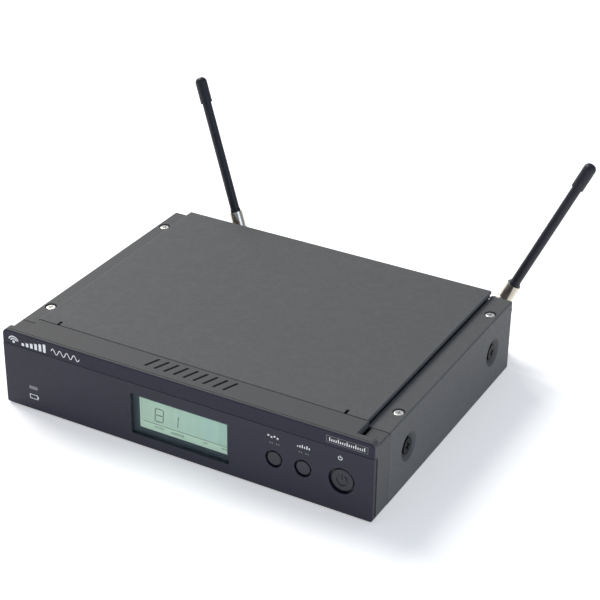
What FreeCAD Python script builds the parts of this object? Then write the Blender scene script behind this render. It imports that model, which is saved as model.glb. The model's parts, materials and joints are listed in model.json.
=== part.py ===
import FreeCAD, Part
import math
import os
import Sketcher

# A half-rack wireless receiver: a moulded front, a bent sheet-metal chassis, a raised cover, rear sockets,
# circuit boards and two whip antennas on tilted bayonet jacks. Millimetres. X runs right and Z up, as seen
# from the front, and the front faces -Y. The origin is the middle of the underside.

DIMENSIONS = {
    # housing
    "width": 197.0, "tall": 40.8, "ledge_top": 38.1, "front_y": -75.2, "rear_y": 75.2, "body_half": 98.3,
    "sheet_gauge": 1.0, "seam_gap": 0.15, "bend_radius": 0.8,
    # moulded front
    "bezel_depth": 15.3, "bezel_low": 0.25, "rim_depth": 4.6, "skin": 2.0,
    "face_corner": 3.0, "foot_corner": 1.2, "face_edge": 0.7,
    "deck_half": 87.8, "trench_half": 89.6, "trench_floor": 33.8, "slot_back": 3.4, "slot_top": 32.15,
    "fascia_depth": 2.05, "fascia_top": 33.2, "fascia_bottom": 0.35, "fascia_half": 98.5, "fascia_gap": 0.2,
    "vent_count": 9.0, "vent_pitch": 5.2, "vent_wide": 1.5, "vent_long": 8.0,
    "vent_lean": 3.0, "vent_deep": 1.3,
    # display
    "display_x": -0.1, "display_z": 16.8, "opening_wide": 52.4, "opening_tall": 21.6,
    "screen_x": 0.15, "screen_z": 16.8, "screen_wide": 47.7, "screen_tall": 17.0,
    "glass_wide": 50.0, "glass_tall": 19.2, "lcd_front": 3.6, "lcd_gauge": 2.4,
    "window_front": 0.12, "window_gauge": 1.85,
    # controls
    "button_z": 16.95, "group_x": 49.25, "channel_x": 63.85, "power_x": 83.0,
    "small_cap": 3.45, "small_hole": 4.3, "power_cap": 5.45, "power_hole": 6.4, "cap_inset": 0.5,
    "power_inset": 0.9, "flange_extra": 1.0, "flange_gauge": 1.0, "plunger_radius": 1.6,
    "lamp_x": -82.35, "lamp_z": 12.5, "lamp_wide": 5.4, "lamp_tall": 2.0,
    # boards
    "front_board_y": 8.5, "front_board_half": 92.0, "front_board_low": 9.0, "front_board_high": 30.5,
    "board_gauge": 1.6, "board_z": 6.0, "board_half": 84.0, "board_front": 24.0, "board_back": 143.0,
    # cover and side fixings; cover_x is the middle of the cover and of the gap between the ledges
    "cover_x": -0.8, "cover_half": 87.8, "cover_front": 15.85, "cover_edge": 0.6,
    "hem_tall": 1.5, "hem_deep": 0.9,
    "relief_x": 76.7, "relief_long": 3.2, "relief_wide": 1.5, "ledge_inner": 88.2,
    "screw_x": 94.0, "screw_front": 32.4, "screw_back": 133.2, "seat_radius": 2.9, "seat_deep": 1.6,
    "foot_top": 35.4, "foot_long": 14.0, "ear_front": 35.0, "ear_back": 128.7, "ear_z": 19.9,
    "dimple_radius": 7.2, "dimple_floor": 4.6, "dimple_deep": 2.6,
    # rear
    "panel_back": 149.0, "panel_half": 97.0, "panel_low": 1.2, "panel_high": 36.5,
    "socket_z": 19.0, "xlr_x": 22.0, "line_x": -12.0, "dc_x": -84.0, "dc_z": 13.2, "hook_x": -75.4,
    # antennas: jack seat centres, tilt from the vertical and turn of the lean from +X toward +Y
    "right_x": 81.5, "left_x": -57.1, "seat_y": 84.4, "seat_z": 13.5,
    "antenna_tilt": 25.8, "antenna_turn": 23.6, "whip_base": 29.2, "whip_long": 74.3, "tip_long": 14.0,
    "whip_radius": 2.45, "tip_radius": 3.15, "ferrule_radius": 3.6, "ring_radius": 7.2, "mount_wall": 1.6,
}


class Size:
    """A length or angle, held with the spreadsheet expression that gives it."""

    def __init__(self, value, text):
        self.value = float(value)
        self.text = text

    def __add__(self, other):
        other = size(other)
        return Size(self.value + other.value, f"({self.text} + {other.text})")

    def __sub__(self, other):
        other = size(other)
        return Size(self.value - other.value, f"({self.text} - {other.text})")

    def __mul__(self, other):
        other = size(other)
        return Size(self.value * other.value, f"({self.text} * {other.text})")

    def __truediv__(self, other):
        other = size(other)
        return Size(self.value / other.value, f"({self.text} / {other.text})")

    def __neg__(self):
        return Size(-self.value, f"(-1 * {self.text})")

    def __radd__(self, other):
        return size(other) + self

    def __rsub__(self, other):
        return size(other) - self

    def __rmul__(self, other):
        return size(other) * self


def size(thing):
    """A plain number as a Size."""
    return thing if isinstance(thing, Size) else Size(thing, repr(float(thing)))


class Sheet:
    """Gives each spreadsheet alias as a Size, as in D.width."""

    def __getattr__(self, alias):
        return Size(DIMENSIONS[alias], f"dims.{alias}")


D = Sheet()
doc = FreeCAD.newDocument("wireless_receiver")


def fill_sheet():
    sheet = doc.addObject("Spreadsheet::Sheet", "dims")
    for row, (alias, value) in enumerate(DIMENSIONS.items(), 1):
        sheet.set(f"A{row}", alias)
        sheet.set(f"B{row}", str(value))
        sheet.setAlias(f"B{row}", alias)
    doc.recompute()


def bind(obj, path, amount):
    obj.setExpression(path, size(amount).text)


# ---------------------------------------------------------------- sketches and PartDesign features

def front(distance):
    """The Y of a place given by its distance behind the front face."""
    return D.front_y + distance


def rectangle(left, right, low, high):
    return [(left, low), (right, low), (right, high), (left, high)]


def centred(x, z, wide, tall):
    return rectangle(x - wide / 2, x + wide / 2, z - tall / 2, z + tall / 2)


def disc(x, y, radius):
    return {"centre": (x, y), "radius": radius}


def body_named(label):
    body = doc.addObject("PartDesign::Body", label)
    body.Label = label
    return body


def fix_point(sketch, geometry, vertex, point):
    """Ties a sketch point to the sheet by its two coordinates."""
    for kind, path, amount in (("DistanceX", "across", point[0]), ("DistanceY", "along", point[1])):
        index = sketch.addConstraint(Sketcher.Constraint(kind, -1, 1, geometry, vertex, size(amount).value))
        name = f"{path}{index}"
        sketch.renameConstraint(index, name)
        bind(sketch, f"Constraints.{name}", amount)


def draw_polygon(sketch, points):
    vectors = [FreeCAD.Vector(size(a).value, size(b).value, 0) for a, b in points]
    first = sketch.GeometryCount
    for start, end in zip(vectors, vectors[1:] + vectors[:1]):
        sketch.addGeometry(Part.LineSegment(start, end), False)
    count = len(points)
    for step in range(count):
        sketch.addConstraint(
            Sketcher.Constraint("Coincident", first + step, 2, first + (step + 1) % count, 1)
        )
    for step, point in enumerate(points):
        fix_point(sketch, first + step, 1, point)


def rounded(points, radii):
    """An outline of level and upright lines, some of whose corners (by index) are rounded."""
    return {"points": points, "radii": radii}


def toward(corner, other, distance):
    """The point that lies a distance from a corner on the level or upright line to another corner."""
    across, along = (size(b).value - size(a).value for a, b in zip(corner, other))
    if abs(across) > abs(along):
        return (corner[0] + distance * (1 if across > 0 else -1), corner[1])
    return (corner[0], corner[1] + distance * (1 if along > 0 else -1))


def draw_rounded(sketch, loop):
    points, radii = [tuple(size(a) for a in point) for point in loop["points"]], loop["radii"]
    count = len(points)
    ends = []
    for step, corner in enumerate(points):
        radius = radii.get(step)
        if radius is None:
            ends.append((corner, corner))
        else:
            ends.append((toward(corner, points[step - 1], size(radius)),
                         toward(corner, points[(step + 1) % count], size(radius))))
    plain = [[FreeCAD.Vector(a.value, b.value, 0) for a, b in pair] for pair in ends]
    lines = [
        sketch.addGeometry(Part.LineSegment(plain[step][1], plain[(step + 1) % count][0]), False)
        for step in range(count)
    ]
    for step in range(count):
        before, after = lines[step - 1], lines[step]
        fix_point(sketch, after, 1, ends[step][1])
        if step not in radii:
            sketch.addConstraint(Sketcher.Constraint("Coincident", before, 2, after, 1))
            continue
        fix_point(sketch, before, 2, ends[step][0])
        enter, leave = plain[step]
        level = abs(enter.y - size(points[step][1]).value) < 1e-9
        middle = FreeCAD.Vector(enter.x, leave.y, 0) if level else FreeCAD.Vector(leave.x, enter.y, 0)
        begin, finish = (math.atan2(p.y - middle.y, p.x - middle.x) for p in (enter, leave))
        forward = (finish - begin) % (2 * math.pi) < math.pi
        angles = (begin, finish) if forward else (finish, begin)
        circle = Part.Circle(middle, FreeCAD.Vector(0, 0, 1), size(radii[step]).value)
        arc = sketch.addGeometry(Part.ArcOfCircle(circle, *angles), False)
        joints = ((before, 2, 1), (after, 1, 2)) if forward else ((before, 2, 2), (after, 1, 1))
        for line, line_end, arc_end in joints:
            sketch.addConstraint(Sketcher.Constraint("Coincident", line, line_end, arc, arc_end))
        index = sketch.addConstraint(Sketcher.Constraint("Radius", arc, size(radii[step]).value))
        sketch.renameConstraint(index, f"radius{index}")
        bind(sketch, f"Constraints.radius{index}", radii[step])


def draw_circle(sketch, loop):
    across, along = (size(amount) for amount in loop["centre"])
    radius = size(loop["radius"])
    centre = FreeCAD.Vector(across.value, along.value, 0)
    line = sketch.addGeometry(Part.Circle(centre, FreeCAD.Vector(0, 0, 1), radius.value), False)
    fix_point(sketch, line, 3, loop["centre"])
    index = sketch.addConstraint(Sketcher.Constraint("Radius", line, radius.value))
    sketch.renameConstraint(index, f"radius{index}")
    bind(sketch, f"Constraints.radius{index}", radius)


def sketch_on(body, plane, offset, loops):
    """A sketch on one of the body's origin planes, moved along the plane's normal by offset."""
    sketch = body.newObject("Sketcher::SketchObject", f"{body.Name}_outline")
    support = next(o for o in body.Origin.OriginFeatures if o.Role == f"{plane}_Plane")
    sketch.AttachmentSupport = (support, [""])
    sketch.MapMode = "FlatFace"
    bind(sketch, "AttachmentOffset.Base.z", offset)
    for loop in loops:
        if isinstance(loop, list):
            draw_polygon(sketch, loop)
        elif "centre" in loop:
            draw_circle(sketch, loop)
        else:
            draw_rounded(sketch, loop)
    return sketch


def pad(body, plane, loops, low, high):
    """Adds material between two levels on the axis that the plane faces. The XZ plane's normal is -Y."""
    offset = -size(high) if plane == "XZ" else low
    sketch = sketch_on(body, plane, offset, loops)
    feature = body.newObject("PartDesign::Pad", f"{body.Name}_pad")
    feature.Profile = sketch
    bind(feature, "Length", size(high) - low)
    settle(body, feature)


def pocket(body, plane, loops, low, high):
    """Removes material between two levels, and makes sure that something was cut."""
    before = body.Shape.Volume
    offset = -size(low) if plane == "XZ" else high
    sketch = sketch_on(body, plane, offset, loops)
    feature = body.newObject("PartDesign::Pocket", f"{body.Name}_pocket")
    feature.Profile = sketch
    bind(feature, "Length", size(high) - low)
    settle(body, feature)
    if body.Shape.Volume > before - 1e-6:
        raise ValueError(f"a pocket in {body.Label} cut nothing")


def revolve(body, outline):
    """Turns an outline of (radius, height) points about the body's Z axis."""
    sketch = sketch_on(body, "XZ", size(0), [outline])
    feature = body.newObject("PartDesign::Revolution", f"{body.Name}_turned")
    feature.Profile = sketch
    feature.ReferenceAxis = (sketch, ["V_Axis"])
    feature.Angle = 360
    settle(body, feature)


def turned(label, outline):
    body = body_named(label)
    revolve(body, outline)
    return body


def settle(body, feature):
    """Recomputes, and stops at the first feature that could not be made."""
    doc.recompute()
    if "Invalid" in feature.State or feature.Shape.isNull():
        raise ValueError(f"{feature.Label} of {body.Label} could not be made")


def dress(body, kind, amount, pick):
    """A Fillet or Chamfer on every edge that pick accepts."""
    names = [f"Edge{i}" for i, edge in enumerate(body.Shape.Edges, 1) if pick(edge)]
    if not names:
        raise ValueError(f"no edge of {body.Label} was picked")
    tip = body.Tip
    feature = body.newObject(f"PartDesign::{kind}", f"{body.Name}_{kind.lower()}")
    feature.Base = (tip, names)
    bind(feature, "Radius" if kind == "Fillet" else "Size", amount)
    body.Tip = feature
    settle(body, feature)


def runs_along(edge, axis):
    """True for a straight edge parallel to X, Y or Z."""
    box = edge.BoundBox
    spans = {"x": box.XLength, "y": box.YLength, "z": box.ZLength}
    return spans[axis] > 1e-3 and all(spans[other] < 1e-3 for other in spans if other != axis)


def near(value, target):
    return abs(value - size(target).value) < 0.02


# ---------------------------------------------------------------- Part primitives and booleans

def move(obj, x, y, z):
    for path, amount in (("x", x), ("y", y), ("z", z)):
        bind(obj, f"Placement.Base.{path}", amount)


def block(name, x, y, z):
    """A box from three (low, high) spans."""
    box = doc.addObject("Part::Box", name)
    for path, (low, high) in (("Length", x), ("Width", y), ("Height", z)):
        bind(box, path, size(high) - low)
    move(box, x[0], y[0], z[0])
    return box


def cylinder(name, radius, base, length, axis="Z"):
    rod = doc.addObject("Part::Cylinder", name)
    bind(rod, "Radius", radius)
    bind(rod, "Height", length)
    turns = {"X": ((0, 1, 0), 90), "Y": ((1, 0, 0), -90), "Z": ((0, 0, 1), 0)}
    direction, angle = turns[axis]
    rod.Placement = FreeCAD.Placement(FreeCAD.Vector(), FreeCAD.Rotation(FreeCAD.Vector(*direction), angle))
    move(rod, *base)
    return rod


def fuse(label, pieces):
    joined = doc.addObject("Part::MultiFuse", label)
    joined.Shapes = pieces
    return joined


def cut(label, base, tool):
    result = doc.addObject("Part::Cut", label)
    result.Label = label
    result.Base = base
    result.Tool = tool
    return result


def group(label, pieces):
    together = doc.addObject("Part::Compound", label)
    together.Label = label
    together.Links = pieces
    return together


def on_antenna_axis(obj, side):
    """Stands a piece built along +Z on the antenna axis of the left or right jack seat."""
    x, turn = (D.right_x, D.antenna_turn) if side == "right" else (D.left_x, 180 - D.antenna_turn)
    place = f"create(<<vector>>; {x.text}; {D.seat_y.text}; {D.seat_z.text})"
    spin = f"create(<<rotation>>; {turn.text}; {D.antenna_tilt.text}; 0)"
    obj.setExpression("Placement", f"create(<<placement>>; {place}; {spin})")
    return obj


# ---------------------------------------------------------------- moulded front

def vent_slots():
    """A row of plain leaning slots across the middle of the deck."""
    middle = (int(DIMENSIONS["vent_count"]) - 1) / 2
    low, high = front(5.35), front(5.35) + D.vent_long
    slots = []
    for step in range(int(DIMENSIONS["vent_count"])):
        x = D.vent_pitch * (step - middle) - 1.5
        near_side, far_side = [(x, low), (x + D.vent_wide, low)], [(x + D.vent_wide, high), (x, high)]
        slots.append(near_side + [(a + D.vent_lean, b) for a, b in far_side])
    return slots


def build_front_bezel():
    body = body_named("front_bezel")
    half, body_half = D.width / 2, D.body_half
    pad(body, "XZ", [rectangle(-half, half, D.bezel_low, D.tall)], front(0), front(D.rim_depth))
    dress(body, "Fillet", D.face_corner, lambda e: runs_along(e, "y") and e.BoundBox.ZMin > 20)
    dress(body, "Fillet", D.foot_corner, lambda e: runs_along(e, "y") and near(e.BoundBox.ZMax, D.bezel_low))
    deck = [
        (-body_half, D.bezel_low), (body_half, D.bezel_low),
        (body_half, D.ledge_top), (D.trench_half, D.ledge_top),
        (D.trench_half, D.trench_floor), (D.deck_half, D.trench_floor), (D.deck_half, D.tall),
        (-D.deck_half, D.tall), (-D.deck_half, D.trench_floor), (-D.trench_half, D.trench_floor),
        (-D.trench_half, D.ledge_top), (-body_half, D.ledge_top),
    ]
    dress(body, "Fillet", D.face_edge, lambda e: near(e.BoundBox.YMax, D.front_y))
    bends = {0: D.bend_radius, 1: D.bend_radius, 2: D.bend_radius, 11: D.bend_radius, 6: 0.6, 7: 0.6}
    pad(body, "XZ", [rounded(deck, bends)], front(D.rim_depth), front(D.bezel_depth))
    inner = body_half - D.skin
    hollow = [
        (-inner, D.skin), (inner, D.skin), (inner, D.trench_floor - D.skin),
        (D.deck_half - D.skin, D.trench_floor - D.skin), (D.deck_half - D.skin, D.tall - D.skin),
        (-D.deck_half + D.skin, D.tall - D.skin), (-D.deck_half + D.skin, D.trench_floor - D.skin),
        (-inner, D.trench_floor - D.skin),
    ]
    wall_back = D.fascia_depth + D.fascia_gap + D.skin
    pocket(body, "XZ", [hollow], front(wall_back), front(D.bezel_depth))
    wide = half + 2
    seat = rectangle(-wide, wide, -1, D.fascia_top + D.fascia_gap)
    pocket(body, "XZ", [seat], front(-1), front(D.fascia_depth + D.fascia_gap))
    for side in (-1, 1):
        edge, shelf = (half + 1) * side, (half - 1.7) * side
        span = rectangle(*((edge, shelf) if side < 0 else (shelf, edge)), D.skin, D.slot_top)
        pocket(body, "XZ", [span], front(D.fascia_depth), front(D.slot_back))
        edge, shelf = (half + 1) * side, D.trench_half * side
        span = rectangle(*((edge, shelf) if side < 0 else (shelf, edge)), D.ledge_top - 1.6, D.ledge_top + 1)
        pocket(body, "XZ", [span], front(D.bezel_depth - 0.35), front(D.bezel_depth + 1))
    build_front_openings(body, wall_back)
    pad_bosses(body, wall_back)
    pocket(body, "XY", vent_slots(), D.tall - D.vent_deep, D.tall + 1)
    crest = rectangle(D.face_corner - half, half - D.face_corner, front(1.4), front(1.7))
    pocket(body, "XY", [crest], D.tall - 0.3, D.tall + 1)
    return body


def build_front_openings(body, wall_back):
    """Openings in the wall behind the fascia, for the screen, the buttons and the lamp."""
    screen = centred(D.screen_x, D.screen_z, D.screen_wide, D.screen_tall)
    lamp = centred(D.lamp_x, D.lamp_z, D.lamp_wide + 1, D.lamp_tall + 1)
    holes = [
        disc(D.group_x, D.button_z, D.small_hole + D.flange_extra + 0.3),
        disc(D.channel_x, D.button_z, D.small_hole + D.flange_extra + 0.3),
        disc(D.power_x, D.button_z, D.power_hole + D.flange_extra + 0.3),
    ]
    pocket(body, "XZ", [screen, lamp] + holes, front(D.fascia_depth), front(wall_back + 0.5))
    seat = centred(D.screen_x, D.screen_z, D.glass_wide + 0.3, D.glass_tall + 0.3)
    pocket(body, "XZ", [seat], front(D.lcd_front - 0.1), front(wall_back + 0.5))


BEZEL_SCREW_X = (-86, -34, 34, 72)
BOARD_SCREWS = ((-88, 29), (-88, 13), (36, 29), (40, 11))


def pad_bosses(body, wall_back):
    """Screw bosses on the back of the front wall: four for the chassis flange, four for the board."""
    long_bosses = [disc(x, 5.5, 2.9) for x in BEZEL_SCREW_X]
    pad(body, "XZ", long_bosses, front(wall_back - 0.4), front(D.bezel_depth))
    short_bosses = [disc(x, z, 2.2) for x, z in BOARD_SCREWS]
    pad(body, "XZ", short_bosses, front(wall_back - 0.4), front(D.front_board_y - 0.05))
    pilots = [disc(x, 5.5, 1.3) for x in BEZEL_SCREW_X]
    pocket(body, "XZ", pilots, front(7), front(D.bezel_depth + 1))
    board_pilots = [disc(x, z, 0.95) for x, z in BOARD_SCREWS]
    pocket(body, "XZ", board_pilots, front(wall_back + 0.3), front(D.front_board_y + 1))


def build_front_fascia():
    body = body_named("front_fascia")
    outline = rectangle(-D.fascia_half, D.fascia_half, D.fascia_bottom, D.fascia_top)
    pad(body, "XZ", [outline], front(0), front(D.fascia_depth))
    dress(body, "Fillet", D.foot_corner, lambda e: runs_along(e, "y") and e.BoundBox.ZMax < 5)
    dress(body, "Fillet", 0.4, lambda e: near(e.BoundBox.YMax, D.front_y) and e.BoundBox.ZMin < 20)
    dress(body, "Fillet", 0.15, lambda e: runs_along(e, "x") and near(e.BoundBox.YMax, D.front_y) and (
        e.BoundBox.ZMin > 20))
    opening = centred(D.display_x, D.display_z, D.opening_wide, D.opening_tall)
    lamp = centred(D.lamp_x, D.lamp_z, D.lamp_wide + 0.2, D.lamp_tall + 0.2)
    holes = [
        disc(D.group_x, D.button_z, D.small_hole),
        disc(D.channel_x, D.button_z, D.small_hole),
        disc(D.power_x, D.button_z, D.power_hole),
    ]
    pocket(body, "XZ", [opening, lamp] + holes, front(-1), front(D.fascia_depth + 1))
    corner = lambda e: runs_along(e, "y") and e.BoundBox.XMax < 40 and e.BoundBox.XMin > -40
    dress(body, "Fillet", 0.8, corner)
    dress(body, "Fillet", 1.05, lambda e: runs_along(e, "y") and -87 < e.BoundBox.XMin < -78)
    rims = lambda e: near(e.BoundBox.YMax, D.front_y) and e.BoundBox.XMin > 40 and e.BoundBox.XMax < 92 and (
        e.BoundBox.ZLength > 5)
    dress(body, "Fillet", 0.5, rims)
    return body


def build_display():
    window = body_named("display_window")
    clear = 0.15
    pane = centred(D.display_x, D.display_z, D.opening_wide - 2 * clear, D.opening_tall - 2 * clear)
    pad(window, "XZ", [pane], front(D.window_front), front(D.window_front + D.window_gauge))
    dress(window, "Fillet", 0.7, lambda e: runs_along(e, "y"))
    panel = body_named("lcd_panel")
    glass = centred(D.screen_x, D.screen_z, D.glass_wide, D.glass_tall)
    lcd_back = D.lcd_front + D.lcd_gauge
    pad(panel, "XZ", [glass], front(D.lcd_front), front(lcd_back))
    dress(panel, "Chamfer", 0.2, lambda e: runs_along(e, "y"))
    light = body_named("lcd_backlight")
    guide = centred(D.screen_x, D.screen_z, D.glass_wide + 2, D.glass_tall + 1.6)
    pad(light, "XZ", [guide], front(lcd_back + 0.05), front(D.front_board_y - 0.05))
    dress(light, "Fillet", 0.8, lambda e: runs_along(e, "y"))
    return [window, panel, light]


def pill(name, x, z, wide, tall, low, high):
    """A bar with fully rounded ends, seen from the front."""
    body = body_named(name)
    pad(body, "XZ", [centred(x, z, wide, tall)], low, high)
    dress(body, "Fillet", tall / 2 - 0.02, lambda e: runs_along(e, "y"))
    return body


def build_lamp():
    lens = pill("led_lens", D.lamp_x, D.lamp_z, D.lamp_wide, D.lamp_tall, front(0.05), front(7.6))
    dress(lens, "Fillet", 0.2, lambda e: near(e.BoundBox.YMax, D.front_y + 0.05))
    chip = body_named("status_led")
    pad(chip, "XZ", [centred(D.lamp_x, D.lamp_z, 3.2, 1.6)], front(7.75), front(D.front_board_y - 0.02))
    return [lens, chip]


BUTTONS = {
    "group": (D.group_x, D.button_z, D.small_cap, D.small_hole, D.cap_inset),
    "channel": (D.channel_x, D.button_z, D.small_cap, D.small_hole, D.cap_inset),
    "power": (D.power_x, D.button_z, D.power_cap, D.power_hole, D.power_inset),
}


def button_cap(label, x, z, radius, hole, face):
    """A round cap on a wider flange that rests behind the fascia."""
    body = body_named(label)
    flange_front = D.fascia_depth + 0.05
    flange_back = flange_front + D.flange_gauge
    pad(body, "XZ", [disc(x, z, radius)], front(face), front(flange_front))
    dress(body, "Fillet", 0.3, lambda e: near(e.BoundBox.YMax, front(face)) and e.BoundBox.XLength > 1)
    pad(body, "XZ", [disc(x, z, hole + D.flange_extra - 0.2)], front(flange_front), front(flange_back))
    return body


def engrave_power_mark(cap):
    """The standby mark: a broken ring with a bar through the break."""
    x, z, face = D.power_x, D.button_z, front(D.power_inset)
    deep = 0.3
    start = face - 1
    outer = cylinder("mark_outer", 2.9, (x, start, z), deep + 1, "Y")
    inner = cylinder("mark_inner", 2.2, (x, start - 1, z), deep + 3, "Y")
    ring = cut("mark_ring", outer, inner)
    gap = block("mark_gap", (x - 1.1, x + 1.1), (start - 1, face + 2), (z + 0.5, z + 4))
    bar = block("mark_bar", (x - 0.35, x + 0.35), (start, face + deep), (z + 0.4, z + 3.4))
    mark = fuse("mark", [cut("mark_broken_ring", ring, gap), bar])
    cap.Label = "power_button_blank"
    return cut("power_button", cap, mark)


def build_controls():
    made, switch_loops, wells = [], [], []
    plunger_front = D.fascia_depth + 0.05 + D.flange_gauge + 0.02
    for name, (x, z, radius, hole, face) in BUTTONS.items():
        cap = button_cap(f"{name}_button", x, z, radius, hole, face)
        made.append(engrave_power_mark(cap) if name == "power" else cap)
        plunger = body_named(f"{name}_switch_plunger")
        pad(plunger, "XZ", [disc(x, z, D.plunger_radius)], front(plunger_front), front(5.9))
        made.append(plunger)
        switch_loops.append(centred(x, z, 6, 6))
        wells.append(disc(x, z, D.plunger_radius + 0.25))
    switches = body_named("button_switches")
    pad(switches, "XZ", switch_loops, front(5.3), front(D.front_board_y - 0.02))
    pocket(switches, "XZ", wells, front(5), front(7.3))
    return made + [switches]


def build_front_board():
    board = body_named("front_circuit_board")
    face, back = front(D.front_board_y), front(D.front_board_y + D.board_gauge)
    outline = rectangle(-D.front_board_half, D.front_board_half, D.front_board_low, D.front_board_high)
    pad(board, "XZ", [outline], face, back)
    pocket(board, "XZ", [disc(x, z, 1.25) for x, z in BOARD_SCREWS], face - 1, back + 1)
    dress(board, "Fillet", 1.5, lambda e: runs_along(e, "y") and abs(e.BoundBox.XMax) > 91)
    return board


def screws_facing_back(label, places, head_y, head_radius, head_high, shank_radius, shank_long):
    """Pan-head screws driven toward -Y, with a cross recess."""
    body = body_named(label)
    pad(body, "XZ", [disc(x, z, head_radius) for x, z in places], head_y, head_y + head_high)
    top = size(head_y) + head_high
    dress(body, "Fillet", 0.35 * head_high, lambda e: near(e.BoundBox.YMin, top))
    pad(body, "XZ", [disc(x, z, shank_radius) for x, z in places], size(head_y) - shank_long, head_y)
    arm, slot = 0.6 * head_radius, 0.24 * head_radius
    crosses = [cross_outline(x, z, arm, slot) for x, z in places]
    pocket(body, "XZ", crosses, top - 0.55 * head_high, top + 1)
    return body


def cross_outline(x, z, arm, slot):
    """Twelve-point outline of a cross recess."""
    h, w = arm, slot / 2
    corners = [
        (-w, -h), (w, -h), (w, -w), (h, -w), (h, w), (w, w),
        (w, h), (-w, h), (-w, w), (-h, w), (-h, -w), (-w, -w),
    ]
    return [(x + a, z + b) for a, b in corners]


def build_front_screws():
    board_back = front(D.front_board_y + D.board_gauge + 0.05)
    flange_back = front(D.bezel_depth + D.seam_gap + D.sheet_gauge + 0.05)
    flange_places = [(x, 5.5) for x in BEZEL_SCREW_X]
    return [
        screws_facing_back("front_board_screws", BOARD_SCREWS, board_back, 1.9, 1.2, 0.9, 4.2),
        screws_facing_back("bezel_screws", flange_places, flange_back, 2.7, 1.8, 1.25, 7.0),
    ]


# ---------------------------------------------------------------- chassis, cover and their fasteners

def ledge_places():
    return [(D.screw_x * side, front(y)) for side in (-1, 1) for y in (D.screw_front, D.screw_back)]


def ear_places():
    return [(side, front(y)) for side in (-1, 1) for y in (D.ear_front, D.ear_back)]


def dimple_tools():
    """Cones for the pressed dimples in the side walls: the outer skin and the hollow."""
    skins, hollows = [], []
    for index, (side, y) in enumerate(ear_places()):
        for kind, radius_extra, depth_extra in (("skin", 0.9, 1.0), ("hollow", 0.0, 0.0)):
            cone = doc.addObject("Part::Cone", f"dimple_{kind}_{index}")
            bind(cone, "Radius1", D.dimple_radius + radius_extra + 0.5)
            bind(cone, "Radius2", D.dimple_floor + radius_extra)
            bind(cone, "Height", D.dimple_deep + depth_extra + 0.4)
            cone.Placement = FreeCAD.Placement(
                FreeCAD.Vector(), FreeCAD.Rotation(FreeCAD.Vector(0, 1, 0), -90 * side)
            )
            move(cone, (D.body_half + 0.4) * side, y, D.ear_z)
            (skins if kind == "skin" else hollows).append(cone)
        hole_x = D.body_half * side - 10 * (side > 0)
        hole = cylinder(f"ear_hole_{index}", 2.1, (hole_x, y, D.ear_z), 10, "X")
        hollows.append(hole)
    return skins, hollows


def build_chassis():
    body = body_named("chassis_blank")
    half, gauge = D.body_half, D.sheet_gauge
    y_front, y_rear = front(D.bezel_depth + D.seam_gap), D.rear_y
    left_edge, right_edge = D.cover_x - D.ledge_inner, D.cover_x + D.ledge_inner
    section = [
        (-half, 0), (half, 0), (half, D.ledge_top), (right_edge, D.ledge_top),
        (right_edge, D.ledge_top - gauge), (half - gauge, D.ledge_top - gauge), (half - gauge, gauge),
        (-half + gauge, gauge), (-half + gauge, D.ledge_top - gauge), (left_edge, D.ledge_top - gauge),
        (left_edge, D.ledge_top), (-half, D.ledge_top),
    ]
    pad(body, "XZ", [section], y_front, y_rear)
    outer = half.value
    dress(body, "Fillet", D.bend_radius, lambda e: runs_along(e, "y") and near(abs(e.BoundBox.XMax), outer))
    lip = [rectangle(-93, 93, gauge - 0.5, 10.5)]
    pad(body, "XZ", lip, y_front, y_front + gauge)
    pocket(body, "XZ", [disc(x, 5.5, 1.6) for x in BEZEL_SCREW_X], y_front - 1, y_front + 3)
    ledges = ledge_places()
    floor = D.ledge_top - D.seat_deep
    pad(body, "XY", [disc(x, y, D.seat_radius + 0.9) for x, y in ledges], floor - gauge, D.ledge_top - 0.5)
    pocket(body, "XY", [disc(x, y, D.seat_radius) for x, y in ledges], floor, D.ledge_top + 1)
    pocket(body, "XY", [disc(x, y, 1.75) for x, y in ledges], floor - 2, floor + 1)
    skins, hollows = dimple_tools()
    half_space = block(
        "inside_walls", (-half, half), (y_front, y_rear), (gauge, D.ledge_top - gauge)
    )
    pressed = doc.addObject("Part::MultiCommon", "dimple_skins")
    pressed.Shapes = [fuse("all_skins", skins), half_space]
    return cut("chassis_base", fuse("chassis_with_dimples", [body, pressed]), fuse("all_hollows", hollows))


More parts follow.
